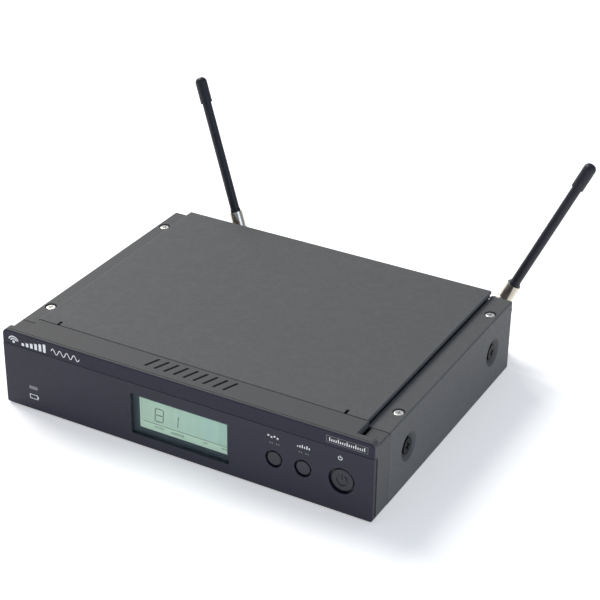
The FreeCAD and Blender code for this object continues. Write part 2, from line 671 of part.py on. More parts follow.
def build_cover():
    """The raised lid: a plate with a hemmed edge over set-back side walls, which end in four feet."""
    body = body_named("top_cover")
    half, gauge = D.cover_half, D.sheet_gauge
    left, right = D.cover_x - half, D.cover_x + half
    y_front, y_rear = front(D.cover_front), D.rear_y
    top, under, hem = D.tall, D.tall - gauge, D.tall - D.hem_tall
    low = D.foot_top - gauge
    left_wall, right_wall = left + D.hem_deep, right - D.hem_deep
    section = [
        (left_wall, low), (left_wall + gauge, low), (left_wall + gauge, under),
        (right_wall - gauge, under), (right_wall - gauge, low), (right_wall, low),
        (right_wall, hem), (right, hem), (right, top), (left, top), (left, hem), (left_wall, hem),
    ]
    pad(body, "XZ", [section], y_front, y_rear)
    turn_down = D.relief_x - D.relief_wide / 2
    front_wall = rectangle(D.cover_x - turn_down, D.cover_x + turn_down, low, top)
    pad(body, "XZ", [front_wall], y_front, y_front + gauge)
    pad(body, "XZ", [rectangle(left + 0.6, right - 0.6, D.panel_high + 0.3, top)], y_rear - gauge, y_rear)
    panel_room = rectangle(left - 1, right + 1, low - 1, D.panel_high + 0.2)
    pocket(body, "XZ", [panel_room], front(D.panel_back) - gauge - 0.2, y_rear + 1)
    dress(body, "Fillet", D.cover_edge, lambda e: runs_along(e, "y") and near(e.BoundBox.ZMin, top))
    slits = []
    for side in (-1, 1):
        middle, reach = D.cover_x + D.relief_x * side, D.relief_wide / 2
        slits.append(rectangle(middle - reach, middle + reach, y_front - 1, y_front + D.relief_long))
    pocket(body, "XY", slits, under - 1, top + 1)
    bend = lambda e: runs_along(e, "x") and near(e.BoundBox.ZMin, top) and near(e.BoundBox.YMin, y_front)
    dress(body, "Fillet", 0.7, lambda e: bend(e) and e.BoundBox.XLength > 50)
    feet = []
    for x, y in ledge_places():
        root, reach = (left_wall + 0.5, x - 2.6) if size(x).value < 0 else (right_wall - 0.5, x + 2.6)
        span = (reach, root) if size(x).value < 0 else (root, reach)
        feet.append(rectangle(*span, y - D.foot_long / 2, y + D.foot_long / 2))
    pad(body, "XY", feet, low, D.foot_top)
    pocket(body, "XY", [disc(x, y, 1.55) for x, y in ledge_places()], low - 1, D.foot_top + 1)
    return body


def build_ledge_screws():
    """Nickel pan-head screws that sit in the ledge seats and hold the cover's feet."""
    body = body_named("ledge_screws")
    places = ledge_places()
    seat = D.ledge_top - D.seat_deep + 0.05
    head_top = seat + 1.15
    pad(body, "XY", [disc(x, y, 2.5) for x, y in places], seat, head_top)
    dress(body, "Fillet", 0.7, lambda e: near(e.BoundBox.ZMin, head_top))
    pad(body, "XY", [disc(x, y, 1.45) for x, y in places], seat - 5.5, seat)
    pocket(body, "XY", [cross_outline(x, y, 1.45, 0.7) for x, y in places], head_top - 0.65, head_top + 1)
    return body


def screw_on_x(side, y, start, head_radius, head_high, shank_radius, shank_long, name):
    """One screw lying along X, its head outward, with a cross recess."""
    x = start * side
    head_x = x if side > 0 else x - head_high
    head = cylinder(f"{name}_head", head_radius, (head_x, y, D.ear_z), head_high, "X")
    shank_x = x - shank_long if side > 0 else x
    shank = cylinder(f"{name}_shank", shank_radius, (shank_x, y, D.ear_z), shank_long, "X")
    outer = x + head_high * side
    span = (outer - 1.0, outer + 1) if side > 0 else (outer - 1, outer + 1.0)
    wide, slot = 2.2, 0.5
    arms = [
        block(f"{name}_slot_y", span, (y - wide, y + wide), (D.ear_z - slot, D.ear_z + slot)),
        block(f"{name}_slot_z", span, (y - slot, y + slot), (D.ear_z - wide, D.ear_z + wide)),
    ]
    return cut(f"{name}_screw", fuse(f"{name}_solid", [head, shank]), fuse(f"{name}_cross", arms))


def build_ear_fasteners():
    floor = D.body_half - D.dimple_deep
    screws, nuts = [], []
    for index, (side, y) in enumerate(ear_places()):
        screws.append(screw_on_x(side, y, floor + 0.05, 4.1, 2.1, 1.9, 9.0, f"ear_{index}"))
        nut_out = (floor - D.sheet_gauge - 0.05) * side
        nut_x = nut_out - 4 * (side > 0)
        ring = cylinder(f"ear_nut_{index}", 3.4, (nut_x, y, D.ear_z), 4, "X")
        bore = cylinder(f"ear_nut_bore_{index}", 2.0, (nut_x - 1, y, D.ear_z), 6, "X")
        nuts.append(cut(f"ear_nut_ring_{index}", ring, bore))
    return [group("rack_ear_screws", screws), group("rack_ear_nuts", nuts)]


# ---------------------------------------------------------------- rear panel and sockets

XLR_SCREWS = ((-9.5, 12.0), (9.5, -12.0))
LEAD_HOLE_Z = 8.5


def build_rear_panel():
    body = body_named("rear_panel")
    back, gauge = front(D.panel_back), D.sheet_gauge
    face = back - gauge
    pad(body, "XZ", [rectangle(-D.panel_half, D.panel_half, D.panel_low, D.panel_high)], face, back)
    dress(body, "Fillet", 1.5, lambda e: runs_along(e, "y"))
    holes = [
        disc(D.xlr_x, D.socket_z, 11.2), disc(D.line_x, D.socket_z, 4.9), disc(D.dc_x, D.dc_z, 4.6),
        disc(D.right_x - 2, LEAD_HOLE_Z, 3.0), disc(D.left_x + 2, LEAD_HOLE_Z, 3.0),
    ]
    holes += [disc(D.xlr_x + x, D.socket_z + z, 1.5) for x, z in XLR_SCREWS]
    holes += [disc(x, MOUNT_SCREW_Z, 1.5) for x in mount_screw_x()]
    pocket(body, "XZ", holes, face - 1, back + 1)
    flange = rectangle(-D.panel_half + 3, D.panel_half - 3, face - 7, face + 0.5)
    pad(body, "XY", [flange], D.sheet_gauge + 0.02, 2 * D.sheet_gauge + 0.02)
    return body


def build_xlr():
    x, z, back = D.xlr_x, D.socket_z, front(D.panel_back)
    shell = body_named("xlr_shell")
    pad(shell, "XZ", [centred(x, z, size(26), size(31))], back + 0.05, back + 1.9)
    dress(shell, "Fillet", 3.0, lambda e: runs_along(e, "y"))
    pad(shell, "XZ", [disc(x, z, 10.9)], back - 15, back + 1)
    pocket(shell, "XZ", [disc(x, z, 8.1)], back - 12.6, back + 3)
    pocket(shell, "XZ", [disc(x + a, z + b, 1.7) for a, b in XLR_SCREWS], back - 0.5, back + 3)
    centres = [(x + 4.9 * math.cos(a), z + 4.9 * math.sin(a)) for a in XLR_ANGLES]
    pocket(shell, "XZ", [disc(a, b, 1.25) for a, b in centres], back - 16, back - 12)
    pins = body_named("xlr_pins")
    pad(pins, "XZ", [disc(a, b, 1.18) for a, b in centres], back - 19, back + 0.2)
    dress(pins, "Fillet", 0.6, lambda e: near(e.BoundBox.YMin, back + 0.2))
    places = [(x + a, z + b) for a, b in XLR_SCREWS]
    return [shell, pins, screws_facing_back("xlr_screws", places, back + 1.95, 2.5, 1.6, 1.4, 7.0)]


XLR_ANGLES = [math.radians(a) for a in (30, 150, 270)]


def build_line_jack():
    """Quarter-inch jack: a block behind the panel, a threaded bush through it, and a hexagon nut."""
    x, z, back = D.line_x, D.socket_z, front(D.panel_back)
    jack = body_named("output_jack")
    pad(jack, "XZ", [centred(x, z, size(16), size(15))], back - 28, back - D.sheet_gauge - 0.05)
    dress(jack, "Fillet", 1.2, lambda e: runs_along(e, "y"))
    pad(jack, "XZ", [disc(x, z, 4.7)], back - D.sheet_gauge - 1, back + 4.5)
    pocket(jack, "XZ", [disc(x, z, 3.25)], back - 26.5, back + 6)
    nut = body_named("output_jack_nut")
    corner = [math.radians(60 * step) for step in range(6)]
    hexagon = [(x + 8 * math.cos(a), z + 8 * math.sin(a)) for a in corner]
    pad(nut, "XZ", [hexagon, disc(x, z, 4.78)], back + 0.05, back + 2.6)
    return [jack, nut]


def build_power_socket():
    x, z, back = D.dc_x, D.dc_z, front(D.panel_back)
    jack = body_named("power_jack")
    pad(jack, "XZ", [centred(x, z, size(9.5), size(11))], back - 14, back - D.sheet_gauge - 0.05)
    pad(jack, "XZ", [disc(x, z, 4.4)], back - D.sheet_gauge - 1, back + 0.8)
    pocket(jack, "XZ", [disc(x, z, 3.0)], back - 10, back + 2)
    dress(jack, "Fillet", 0.4, lambda e: near(e.BoundBox.YMin, back + 0.8) and e.BoundBox.XLength > 7)
    pin = body_named("power_jack_pin")
    pad(pin, "XZ", [disc(x, z, 1.0)], back - 9.95, back - 0.8)
    dress(pin, "Fillet", 0.5, lambda e: near(e.BoundBox.YMin, back - 0.8))
    return [jack, pin]


def build_cord_hook():
    """A hook beside the power socket that the lead is looped round."""
    x, back = D.hook_x, front(D.panel_back)
    body = body_named("cord_hook")
    reach = [
        (back + 0.05, 4.5), (back + 8.5, 4.5), (back + 8.5, 22), (back + 6.3, 22),
        (back + 6.3, 8.0), (back + 0.05, 8.0),
    ]
    pad(body, "YZ", [reach], x - 3, x + 3)
    dress(body, "Fillet", 0.9, lambda e: runs_along(e, "x"))
    return body


# ---------------------------------------------------------------- antenna mounts, jacks and whips

MOUNT_SCREW_Z = 9.0
EAR_OFFSETS = (-14.6, 11.1)


def mount_screw_x():
    """X of the mounting screws. Offsets run outward from each jack's axis."""
    return [D.right_x + a for a in EAR_OFFSETS] + [D.left_x - a for a in EAR_OFFSETS]


def tilted_block(name, side, start):
    """A big block whose lower face is square to the antenna axis, start above the jack seat."""
    tool = doc.addObject("Part::Box", name)
    for path, amount in (("Length", 80), ("Width", 80), ("Height", 60)):
        bind(tool, path, amount)
    move(tool, -40, -40, start)
    return on_antenna_axis(group(f"{name}_placed", [tool]), side)


def build_antenna_mount(side):
    """A hollow wedge on the rear panel. Its sloping top carries the jack."""
    sign = 1 if side == "right" else -1
    x = D.right_x if side == "right" else D.left_x
    back, wall = front(D.panel_back) + 0.05, D.mount_wall
    rear = back + 18.4

    def span(inner, outer):
        return (x + inner, x + outer) if sign > 0 else (x - outer, x - inner)

    wedge = body_named(f"{side}_mount_blank")
    low, high = span(-11.5, 7.9)
    pad(wedge, "XY", [rectangle(low, high, back, rear)], 1.4, 24)
    dress(wedge, "Fillet", 3.0, lambda e: runs_along(e, "z") and near(e.BoundBox.YMin, rear))
    ear_low, ear_high = span(-18.0, 14.4)
    pad(wedge, "XY", [rectangle(ear_low, ear_high, back, back + 2)], 4.5, 13.5)
    outside = cut(f"{side}_mount_outside", wedge, tilted_block(f"{side}_top_plane", side, 0))
    low, high = span(-11.5 + wall, 7.9 - wall)
    room = block(f"{side}_mount_room", (low, high), (back - 1, rear - wall), (1.4 + wall, 24))
    inside = cut(f"{side}_mount_inside", room, tilted_block(f"{side}_roof_plane", side, -wall))
    drill = cylinder(f"{side}_jack_drill", 4.9, (0, 0, -5), 25)
    bore = on_antenna_axis(group(f"{side}_jack_hole", [drill]), side)
    ears = [
        cylinder(f"{side}_ear_hole_{step}", 1.5, (x + offset * sign, back - 1, MOUNT_SCREW_Z), 5, "Y")
        for step, offset in enumerate(EAR_OFFSETS)
    ]
    return cut(f"{side}_antenna_mount", outside, fuse(f"{side}_mount_cuts", [inside, bore] + ears))


def jack_outline():
    """Section of the bayonet jack above and below its seat."""
    return [
        (4.05, 2.0), (4.05, 11.0), (4.8, 11.0), (4.8, 1.9), (6.6, 1.9), (6.6, 0.05), (4.75, 0.05),
        (4.75, -5.6), (2.6, -5.6), (2.6, 2.0),
    ]


def build_jack(side):
    barrel = turned(f"{side}_jack_barrel", jack_outline())
    lugs = cylinder(f"{side}_lug_bar", 0.95, (-5.45, 0, 6.3), 10.9, "X")
    bore = cylinder(f"{side}_lug_clear", 4.4, (0, 0, 3), 7)
    whole = fuse(f"{side}_antenna_jack", [barrel, cut(f"{side}_lugs", lugs, bore)])
    whole.Label = f"{side}_antenna_jack"
    return on_antenna_axis(whole, side)


def build_jack_insides():
    """Nut, insulator and contact of each jack, each kind as one group of two."""
    nuts, insulators, contacts = [], [], []
    corners = [math.radians(60 * step) for step in range(6)]
    for side in ("left", "right"):
        nut = body_named(f"{side}_jack_nut")
        below = -D.mount_wall - 0.05
        outline = [(6.8 * math.cos(a), 6.8 * math.sin(a)) for a in corners]
        pad(nut, "XY", [outline, disc(0, 0, 4.83)], below - 2, below)
        nuts.append(on_antenna_axis(nut, side))
        plug = [(1.1, -5.4), (1.1, 10.0), (2.3, 10.0), (2.3, 2.05), (2.55, 2.05), (2.55, -5.4)]
        insulators.append(on_antenna_axis(turned(f"{side}_jack_insulator", plug), side))
        socket = [(0.78, 2.5), (0.78, 9.6), (1.05, 9.6), (1.05, -7.0), (0.0, -7.0), (0.0, 2.5)]
        contacts.append(on_antenna_axis(turned(f"{side}_jack_contact", socket), side))
    return [
        group("antenna_jack_nuts", nuts),
        group("antenna_jack_insulators", insulators),
        group("antenna_jack_contacts", contacts),
    ]


def build_coupling_ring(side):
    """The bayonet ring: two entry channels lead to a groove that the jack's lugs run in."""
    radius = D.ring_radius
    outline = [
        (5.2, 2.4), (5.2, 14.6), (4.45, 14.6), (4.45, 16.0), (radius - 0.7, 16.0), (radius - 0.7, 14.4),
        (radius, 13.8), (radius, 4.6), (radius - 0.5, 4.0), (radius - 0.5, 2.4),
    ]
    ring = turned(f"{side}_ring_blank", outline)
    channels = block(f"{side}_ring_channels", (-1.3, 1.3), (-5.75, 5.75), (2, 6.3))
    groove = cylinder(f"{side}_ring_groove", 5.75, (0, 0, 5.05), 2.5)
    grips = []
    for step in range(10):
        angle = math.radians(36 * step)
        place = ((D.ring_radius + 0.35) * math.cos(angle), (D.ring_radius + 0.35) * math.sin(angle), 5.2)
        grips.append(cylinder(f"{side}_ring_flute_{step}", 0.75, place, 8))
    tool = fuse(f"{side}_ring_cuts", [channels, groove] + grips)
    return on_antenna_axis(cut(f"{side}_coupling_ring", ring, tool), side)


def build_antenna(side):
    base = D.whip_base
    plug = turned(f"{side}_antenna_plug", [
        (3.1, 3.2), (3.1, 11.6), (2.0, 11.6), (2.0, base - 0.05), (D.ferrule_radius, base - 0.05),
        (D.ferrule_radius, base - 8.8), (4.1, base - 9.4), (4.1, 14.3), (4.9, 14.3), (4.9, 11.5), (3.9, 11.5),
        (3.9, 3.2),
    ])
    pin = turned(f"{side}_antenna_pin", [
        (0, 3.4), (0.5, 3.4), (0.65, 4.0), (0.65, 12.0), (1.9, 12.0), (1.9, 27.0), (0, 27.0),
    ])
    top = base + D.whip_long
    seam = top - D.tip_long
    whip = turned(f"{side}_antenna_whip", [
        (0, base), (2.75, base), (2.75, base + 1.2), (D.whip_radius, base + 2.0),
        (D.whip_radius, seam - 0.05), (1.7, seam - 0.05), (1.7, seam + 8), (0, seam + 8),
    ])
    cap = turned(f"{side}_antenna_cap", [
        (1.75, seam), (1.75, seam + 8.1), (0, seam + 8.1), (0, top), (D.tip_radius, top),
        (D.tip_radius, seam),
    ])
    dress(cap, "Fillet", D.tip_radius - 0.4, lambda e: near(e.BoundBox.ZMin, top) and e.BoundBox.XLength > 4)
    return [on_antenna_axis(piece, side) for piece in (plug, pin, whip, cap)]


def build_mount_screws():
    places = [(x, MOUNT_SCREW_Z) for x in mount_screw_x()]
    return screws_facing_back("antenna_mount_screws", places, front(D.panel_back) + 2.1, 2.4, 1.5, 1.4, 5.0)


# ---------------------------------------------------------------- inside

STANDOFFS = [(-79, 29), (0, 29), (79, 29), (-70, 138), (0, 138), (70, 138)]
BOARD_Z = D.board_z + D.board_gauge
TUNER_ROOM = {"left": (-62, -24), "right": (26, 64)}


def build_main_board():
    board = body_named("main_circuit_board")
    outline = rectangle(-D.board_half, D.board_half, front(D.board_front), front(D.board_back))
    pad(board, "XY", [outline], D.board_z, BOARD_Z)
    pocket(board, "XY", [disc(x, front(y), 1.6) for x, y in STANDOFFS], D.board_z - 1, BOARD_Z + 1)
    dress(board, "Fillet", 2.0, lambda e: runs_along(e, "z") and abs(e.BoundBox.XMax) > 83)
    posts = body_named("board_standoffs")
    loops = [disc(x, front(y), 2.6) for x, y in STANDOFFS] + [disc(x, front(y), 1.55) for x, y in STANDOFFS]
    pad(posts, "XY", loops, D.sheet_gauge + 0.02, D.board_z - 0.02)
    screws = body_named("main_board_screws")
    heads = [disc(x, front(y), 2.7) for x, y in STANDOFFS]
    pad(screws, "XY", heads, BOARD_Z + 0.05, BOARD_Z + 1.9)
    dress(screws, "Fillet", 0.6, lambda e: near(e.BoundBox.ZMin, BOARD_Z + 1.9))
    pad(screws, "XY", [disc(x, front(y), 1.45) for x, y in STANDOFFS], BOARD_Z - 6, BOARD_Z + 0.1)
    crosses = [cross_outline(x, front(y), 1.5, 0.7) for x, y in STANDOFFS]
    pocket(screws, "XY", crosses, BOARD_Z + 1.0, BOARD_Z + 3)
    return [board, posts, screws]


def build_board_parts():
    shields = body_named("tuner_shields")
    cans, rooms = [], []
    for low, high in TUNER_ROOM.values():
        cans.append(rectangle(size(low), size(high), front(62), front(106)))
        rooms.append(rectangle(size(low) + 0.5, size(high) - 0.5, front(62.5), front(105.5)))
    pad(shields, "XY", cans, BOARD_Z + 0.02, BOARD_Z + 9)
    pocket(shields, "XY", rooms, BOARD_Z - 1, BOARD_Z + 8.5)
    vents = []
    for low, high in TUNER_ROOM.values():
        middle = (low + high) / 2
        vents += [disc(size(middle + 7 * a), front(84 + 9 * b), 1.2) for a in (-1, 0, 1) for b in (-1, 0, 1)]
    pocket(shields, "XY", vents, BOARD_Z + 8, BOARD_Z + 10)
    cans_list = ((-72, 58, 4), (-72, 70, 4), (-72, 82, 3.15), (6, 112, 4), (0.5, 126, 3.15), (12, 126, 3.15))
    capacitors = body_named("filter_capacitors")
    pad(capacitors, "XY", [disc(x, front(y), r) for x, y, r in cans_list], BOARD_Z + 0.02, BOARD_Z + 11)
    dress(capacitors, "Fillet", 0.6, lambda e: near(e.BoundBox.ZMin, BOARD_Z + 11))
    chips = body_named("control_chips")
    spots = (
        (0, 62, 14, 14), (4, 88, 10, 6), (-10, 88, 6, 5),
        (-44, 48, 10, 10), (44, 48, 10, 10), (44, 122, 12, 7),
    )
    outlines = [centred(size(x), front(y), size(w), size(h)) for x, y, w, h in spots]
    pad(chips, "XY", outlines, BOARD_Z + 0.1, BOARD_Z + 1.6)
    return [shields, capacitors, chips]


def build_heat_sink():
    """A comb of fins beside the power socket."""
    body = body_named("heat_sink")
    left, low, high = -78.0, BOARD_Z + 0.02, BOARD_Z + 16
    pad(body, "XY", [rectangle(left, left + 20, front(108), front(110))], low, high)
    fin_edges = [left + 3.6 * step for step in range(6)]
    fins = [rectangle(edge, edge + 1.4, front(109.9), front(121)) for edge in fin_edges]
    pad(body, "XY", fins, low, high)
    return body


def ribbon_outline(points, gauge):
    """A band of constant height built from stations along its length."""
    upper = [(front(y), z + gauge) for y, z in points]
    lower = [(front(y), z) for y, z in points]
    return lower + upper[::-1]


def build_ribbon():
    """The flat cable between the two boards, with a long gentle drop."""
    body = body_named("ribbon_cable")
    drop = ((21.0, 10.8), (26.0, 6.0), (30.0, 2.2), (35.0, 0.5), (41.0, 0.15))
    stations = [(10.2, size(20)), (16.0, size(20))] + [(y, BOARD_Z + above) for y, above in drop]
    pad(body, "YZ", [ribbon_outline(stations, 0.8)], size(-36), size(-10))
    return body


def round_path(points, radius_share=0.45):
    """A wire of straight runs joined by tangent arcs as large as the runs allow."""
    edges, start = [], points[0]
    for before, corner, after in zip(points, points[1:], points[2:]):
        into, out = corner - before, after - corner
        turn = into.getAngle(out)
        reach = radius_share * min(into.Length, out.Length)
        enter = corner - into * (reach / into.Length)
        leave = corner + out * (reach / out.Length)
        radius = reach / math.tan(turn / 2)
        bisector = (enter + leave) * 0.5 - corner
        middle = corner + bisector * ((radius / math.cos(turn / 2) - radius) / bisector.Length)
        edges.append(Part.LineSegment(start, enter).toShape())
        edges.append(Part.Arc(enter, middle, leave).toShape())
        start = leave
    edges.append(Part.LineSegment(start, points[-1]).toShape())
    return Part.Wire(edges)


def build_coax_leads():
    """Thin leads from the jacks, through the panel, to the tuner cans on the board."""
    leads = []
    y0, back = DIMENSIONS["front_y"], DIMENSIONS["panel_back"]
    top = BOARD_Z.value
    for side, sign in (("left", -1), ("right", 1)):
        x = DIMENSIONS[f"{side}_x"] - 2.0 * sign
        end_x = sum(TUNER_ROOM[side]) / 2
        points = [
            FreeCAD.Vector(x, y0 + back + 7.0, LEAD_HOLE_Z - 1.4),
            FreeCAD.Vector(x, y0 + back - 5.0, LEAD_HOLE_Z + 1.0),
            FreeCAD.Vector(x - 1.0 * sign, y0 + back - 14.0, top + 3.4),
            FreeCAD.Vector((x + end_x) / 2, y0 + 122.0, top + 4.4),
            FreeCAD.Vector(end_x, y0 + 114.5, top + 4.0),
            FreeCAD.Vector(end_x, y0 + 106.1, top + 4.0),
        ]
        path = round_path(points)
        tangent = (points[1] - points[0]).normalize()
        ring = Part.Wire([Part.Circle(points[0], tangent, 0.9).toShape()])
        lead = doc.addObject("Part::Feature", f"{side}_coax_lead")
        lead.Shape = path.makePipeShell([ring], True, True)
        lead.Label = f"{side}_coax_lead"
        print(lead.Label, "length", round(path.Length, 1), "volume", round(lead.Shape.Volume, 1),
              "expected", round(math.pi * 0.81 * path.Length, 1))
        leads.append(lead)
    return leads


# ---------------------------------------------------------------- document

def build_all():
    fill_sheet()
    pieces = [build_front_bezel(), build_front_fascia(), *build_display(), *build_lamp(), *build_controls()]
    pieces += [build_front_board(), *build_front_screws()]
    pieces += [build_chassis(), build_cover(), build_ledge_screws(), *build_ear_fasteners()]
    pieces += [build_rear_panel(), *build_xlr(), *build_line_jack(), *build_power_socket(), build_cord_hook()]
    for side in ("left", "right"):
        pieces += [build_antenna_mount(side), build_jack(side), build_coupling_ring(side)]
        pieces += build_antenna(side)
    pieces += [*build_jack_insides(), build_mount_screws()]
    pieces += [*build_main_board(), *build_board_parts()]
    pieces += [build_heat_sink(), build_ribbon(), *build_coax_leads()]
    doc.recompute()
    return pieces


def check(pieces):
    for obj in doc.Objects:
        if "Invalid" in obj.State or "Error" in obj.State:
            raise ValueError(f"{obj.Label} failed: {obj.State}")
    for piece in pieces:
        if piece.Shape.isNull() or not piece.Shape.isValid() or not piece.Shape.Solids:
            raise ValueError(f"{piece.Label} has no valid solid")


def write(pieces):
    os.makedirs("parts", exist_ok=True)
    for piece in pieces:
        piece.Shape.exportStep(f"parts/{piece.Label}.step")
    print(len(pieces), "pieces,", sum(len(piece.Shape.Solids) for piece in pieces), "solids")


def main():
    pieces = build_all()
    check(pieces)
    write(pieces)
    return pieces


main()
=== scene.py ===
import json
import math

import bmesh
import bpy
from mathutils import Matrix, Vector


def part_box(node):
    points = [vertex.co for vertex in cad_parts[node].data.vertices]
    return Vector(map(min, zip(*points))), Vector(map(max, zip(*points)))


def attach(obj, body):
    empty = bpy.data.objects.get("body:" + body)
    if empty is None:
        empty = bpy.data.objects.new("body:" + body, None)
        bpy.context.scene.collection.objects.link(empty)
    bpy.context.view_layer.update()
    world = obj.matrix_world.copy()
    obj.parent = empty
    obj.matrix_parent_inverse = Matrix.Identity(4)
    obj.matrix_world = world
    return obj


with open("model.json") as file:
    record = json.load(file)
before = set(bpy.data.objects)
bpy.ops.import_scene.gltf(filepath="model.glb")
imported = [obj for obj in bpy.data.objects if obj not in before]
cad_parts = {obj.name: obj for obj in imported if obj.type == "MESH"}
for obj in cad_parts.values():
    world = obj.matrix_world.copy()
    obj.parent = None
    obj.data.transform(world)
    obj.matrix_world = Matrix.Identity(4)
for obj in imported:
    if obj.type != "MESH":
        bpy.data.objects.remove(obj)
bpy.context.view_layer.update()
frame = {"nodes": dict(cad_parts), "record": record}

# The looks of the wireless receiver: node materials for each CAD piece, printed marks, the display's
# segments, and the studio. Everything is in the CAD's frame: +Z up, and the front faces -Y. Materials,
# lights and the camera are in metres. Marks and segments are drawn in millimetres.

NODES = frame["nodes"]
MM = 0.001

FACE_Y = -75.2                  # the front face, in mm
INK_DEPTH = 0.03                # how thick the printed ink is, in mm
INK_SUNK = 0.005                # how far it reaches into the face, in mm

BUTTON_Z = 16.95                # the height of the buttons' centres, in mm
BUTTON_HOLES = ((49.25, 4.3), (63.85, 4.3), (83.0, 6.4))    # each hole's centre across, and radius, in mm

SEGMENT_DEPTH = 0.04            # a display segment's thickness, in mm
SEGMENT_AHEAD = 0.03            # from the display's front to the segments' middle, in mm
SEGMENT_WIDTH = 0.42            # a numeral's strokes, in mm
SEGMENT_SPLIT = 0.2             # the bare length at each end of a stroke, in mm
SEGMENT_LEAN = 0.5              # how far a numeral's top leans to the right, in mm


# ---------------------------------------------------------------- node materials

def shade(colour, factor):
    """A colour made darker or lighter."""
    return tuple(channel * factor for channel in colour)


class Shader:
    """One node material, built a node at a time."""

    def __init__(self, name, colour, roughness, metallic=0.0, **sockets):
        self.material = bpy.data.materials.new(name)
        self.material.use_nodes = True
        self.tree = self.material.node_tree
        self.surface = self.tree.nodes["Principled BSDF"]
        self.place = self.add("ShaderNodeTexCoord").outputs["Object"]
        self.set("Base Color", (*colour, 1.0))
        self.set("Roughness", roughness)
        self.set("Metallic", metallic)
        for socket, value in sockets.items():
            self.set(socket.replace("_", " "), value)

    def set(self, socket, value):
        self.surface.inputs[socket].default_value = value

    def add(self, kind, **settings):
        made = self.tree.nodes.new(kind)
        for name, value in settings.items():
            setattr(made, name, value)
        return made

    def link(self, source, target):
        self.tree.links.new(source, target)

    def feed(self, socket, value):
        """Gives a node's socket an output to read, or a plain number."""
        if isinstance(value, (int, float)):
            socket.default_value = value
        else:
            self.link(value, socket)

    # Patterns and places

    def noise(self, scale, detail, rough=0.55, along=(1, 1, 1)):
        """Noise from 0 to 1, with this many features per metre, scaled along each axis."""
        mapping = self.add("ShaderNodeMapping")
        mapping.inputs["Scale"].default_value = along
        self.link(self.place, mapping.inputs["Vector"])
        made = self.add("ShaderNodeTexNoise")
        made.inputs["Scale"].default_value = scale
        made.inputs["Detail"].default_value = detail
        made.inputs["Roughness"].default_value = rough
        self.link(mapping.outputs["Vector"], made.inputs["Vector"])
        return made.outputs["Fac"]

    def cells(self, scale):
        """The distance to the nearest of many scattered points."""
        made = self.add("ShaderNodeTexVoronoi")
        made.inputs["Scale"].default_value = scale
        self.link(self.place, made.inputs["Vector"])
        return made.outputs["Distance"]

    def axis(self, name):
        """One coordinate of the object, in metres."""
        split = self.add("ShaderNodeSeparateXYZ")
        self.link(self.place, split.inputs["Vector"])
        return split.outputs[name]

    # Arithmetic

    def compute(self, operation, first, second=0):
        """Arithmetic on values, each an output or a number."""
        made = self.add("ShaderNodeMath", operation=operation)
        self.feed(made.inputs[0], first)
        self.feed(made.inputs[1], second)
        return made.outputs["Value"]

    def product(self, first, *others):
        for other in others:
            first = self.compute("MULTIPLY", first, other)
        return first

    def greatest(self, first, *others):
        for other in others:
            first = self.compute("MAXIMUM", first, other)
        return first

    def off_centre(self, value, middle):
        """How far a value is from the middle, on either side."""
        return self.compute("ABSOLUTE", self.compute("SUBTRACT", value, middle))

    def between(self, source, low, high, start=0.3, end=0.7):
        """Maps start..end of a value to low..high. The usual start and end suit noise."""
        made = self.add("ShaderNodeMapRange")
        for socket, value in (("From Min", start), ("From Max", end), ("To Min", low), ("To Max", high)):
            made.inputs[socket].default_value = value
        self.link(source, made.inputs["Value"])
        return made.outputs["Result"]

    def rise(self, source, start, soft):
        """0 below start, and 1 from start plus soft."""
        return self.between(source, 0, 1, start=start, end=start + soft)

    def fall(self, source, start, soft):
        """1 below start, and 0 from start plus soft."""
        return self.between(source, 1, 0, start=start, end=start + soft)

    def slab(self, name, low, high, middle=0.0, soft=0.0002):
        """1 where a coordinate is between low and high away from the middle, on either side."""
        place = self.off_centre(self.axis(name), middle)
        return self.product(self.rise(place, low - soft, soft), self.fall(place, high, soft))

    def round_band(self, x, z, radius, reach):
        """1 within reach of a circle seen from the front, and 0 beyond it."""
        across = self.compute("SUBTRACT", self.axis("X"), x)
        up = self.compute("SUBTRACT", self.axis("Z"), z)
        squares = self.compute("ADD", self.product(across, across), self.product(up, up))
        off = self.off_centre(self.compute("SQRT", squares), radius)
        return self.fall(off, reach * 0.9, reach * 0.1)

    # Colours

    def mix(self, share, below, above):
        """Mixes two colours, each an output or a plain colour."""
        made = self.add("ShaderNodeMix", data_type="RGBA", blend_type="MIX")
        colours = [socket for socket in made.inputs if socket.type == "RGBA"]
        for socket, colour in zip(colours, (below, above)):
            if isinstance(colour, tuple):
                socket.default_value = (*colour, 1.0)
            else:
                self.link(colour, socket)
        self.feed(made.inputs["Factor"], share)
        return next(socket for socket in made.outputs if socket.type == "RGBA")

    def mottled(self, colour, source, low, high):
        """A colour that varies with noise, from low to high times itself."""
        return self.mix(self.between(source, 0, 1), shade(colour, low), shade(colour, high))

    def worn_edges(self, base, bare, reach=0.3):
        """Lightens a colour where the surface turns sharply, broken up by noise."""
        point = self.add("ShaderNodeNewGeometry").outputs["Pointiness"]
        patchy = self.between(self.noise(260, 5), 0.0, reach, start=0.45, end=0.75)
        return self.mix(self.product(self.rise(point, 0.52, 0.08), patchy), base, bare)

    # Outputs

    def colour(self, source):
        self.link(source, self.surface.inputs["Base Color"])

    def roughness(self, source):
        self.link(source, self.surface.inputs["Roughness"])

    def bump(self, source, depth, strength):
        """Raises the surface by up to depth metres where source is 1."""
        made = self.add("ShaderNodeBump")
        made.inputs["Distance"].default_value = depth
        made.inputs["Strength"].default_value = strength
        self.link(source, made.inputs["Height"])
        self.link(made.outputs["Normal"], self.surface.inputs["Normal"])


